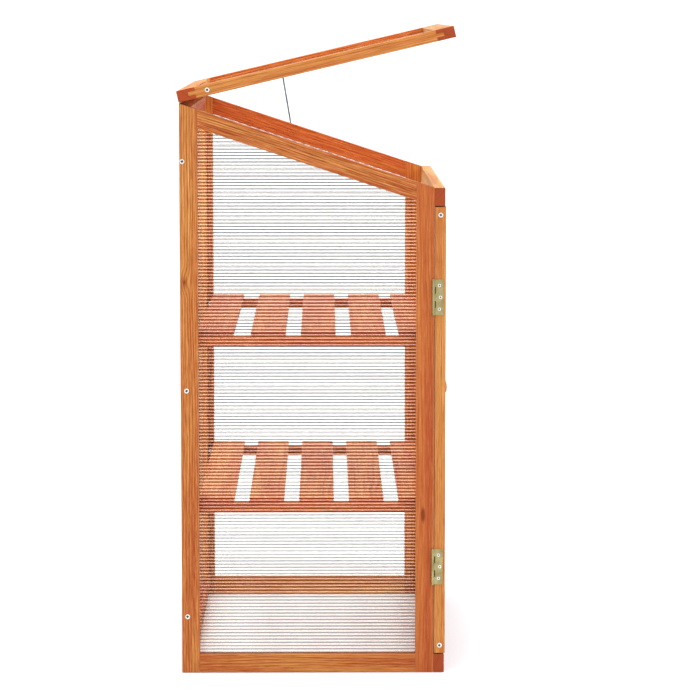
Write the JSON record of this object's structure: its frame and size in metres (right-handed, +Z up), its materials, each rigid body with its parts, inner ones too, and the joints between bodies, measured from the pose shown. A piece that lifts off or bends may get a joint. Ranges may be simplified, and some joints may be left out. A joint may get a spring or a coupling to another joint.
{
  "type": "mini greenhouse",
  "caption": "Free-standing wooden mini greenhouse with clear ribbed walls, slatted shelves, hinged front doors and a sloping lid held open by a wire prop.",
  "frame": {"origin": "bottom centre of the box round the greenhouse with its lid propped open, on the ground; the body's back face is at y = 0.2406 m and the doors' outer face at y = -0.2294 m", "axes": "+Z up, the doors face -Y, +X to the right as seen from the front"},
  "size_m": [0.7706, 0.4924, 1.1513],
  "materials": {
    "stained_wood": "satin stain over fir",
    "shelf_wood": "satin stain over fir",
    "clear_sheet": "clear twin-wall sheet with fine level ribs",
    "brass": "plated, slightly dull",
    "zinc": "bright zinc plate",
    "dark_wire": "dark grey wire"
  },
  "bodies": {
    "carcass": {"left_back_post": "stained_wood", "left_front_post": "stained_wood", "left_bottom_rail": "stained_wood", "left_top_rail": "stained_wood", "left_panel": "clear_sheet", "right_back_post": "stained_wood", "right_front_post": "stained_wood", "right_bottom_rail": "stained_wood", "right_top_rail": "stained_wood", "right_panel": "clear_sheet", "back_left_stile": "stained_wood", "back_right_stile": "stained_wood", "back_bottom_rail": "stained_wood", "back_top_rail": "stained_wood", "back_panel": "clear_sheet", "front_bottom_rail": "stained_wood", "front_top_rail": "stained_wood", "shelf_battens": "shelf_wood", "lower_slat_1": "shelf_wood", "lower_slat_2": "shelf_wood", "lower_slat_3": "shelf_wood", "lower_slat_4": "shelf_wood", "lower_slat_5": "shelf_wood", "upper_slat_1": "shelf_wood", "upper_slat_2": "shelf_wood", "upper_slat_3": "shelf_wood", "upper_slat_4": "shelf_wood", "upper_slat_5": "shelf_wood", "slat_screws": "zinc", "carcass_screws": "zinc", "frame_hinge_leaves": "brass", "hinge_pins": "brass", "prop_rest_peg": "zinc"},
    "left_door": {"left_door_outer_stile": "stained_wood", "left_door_meeting_stile": "stained_wood", "left_door_bottom_rail": "stained_wood", "left_door_top_rail": "stained_wood", "left_door_panel": "clear_sheet", "left_door_knob": "stained_wood", "left_door_hinge_leaves": "brass", "left_door_screws": "zinc"},
    "right_door": {"right_door_outer_stile": "stained_wood", "right_door_meeting_stile": "stained_wood", "right_door_bottom_rail": "stained_wood", "right_door_top_rail": "stained_wood", "right_door_panel": "clear_sheet", "right_door_knob": "stained_wood", "right_door_hinge_leaves": "brass", "right_door_screws": "zinc"},
    "turn_button": {"turn_button": "stained_wood"},
    "lid": {"lid_back_rail": "stained_wood", "lid_front_rail": "stained_wood", "lid_left_rail": "stained_wood", "lid_right_rail": "stained_wood", "lid_panel": "clear_sheet", "lid_hinge_leaves": "brass", "lid_screws": "zinc", "prop_pivot_screw": "zinc"},
    "prop": {"prop_rod": "dark_wire"}
  },
  "joints": [
    {"name": "lid_hinge", "type": "hinge", "parent": "carcass", "child": "lid", "pos_m": [0, 0.24341, 1.0164], "axis": [-1, 0, 0], "range_deg": [-30.75, 0]},
    {"name": "prop_pivot", "type": "hinge", "parent": "lid", "child": "prop", "pos_m": [0.38, 0.07182, 1.06784], "axis": [-1, 0, 0], "range_deg": [-86.31, 0]},
    {"name": "left_door_hinge", "type": "hinge", "parent": "carcass", "child": "left_door", "pos_m": [-0.3828, -0.2073, 0], "axis": [0, 0, -1], "range_deg": [0, 175]},
    {"name": "right_door_hinge", "type": "hinge", "parent": "carcass", "child": "right_door", "pos_m": [0.3828, -0.2073, 0], "axis": [0, 0, 1], "range_deg": [0, 175]},
    {"name": "turn_button_pivot", "type": "hinge", "parent": "right_door", "child": "turn_button", "pos_m": [0.017, -0.22939, 0.52], "axis": [0, -1, 0], "range_deg": [0, 90]}
  ],
  "couplings": [
    {"joint": "prop_pivot", "follows": "lid_hinge", "ratio": 2.8068}
  ]
}
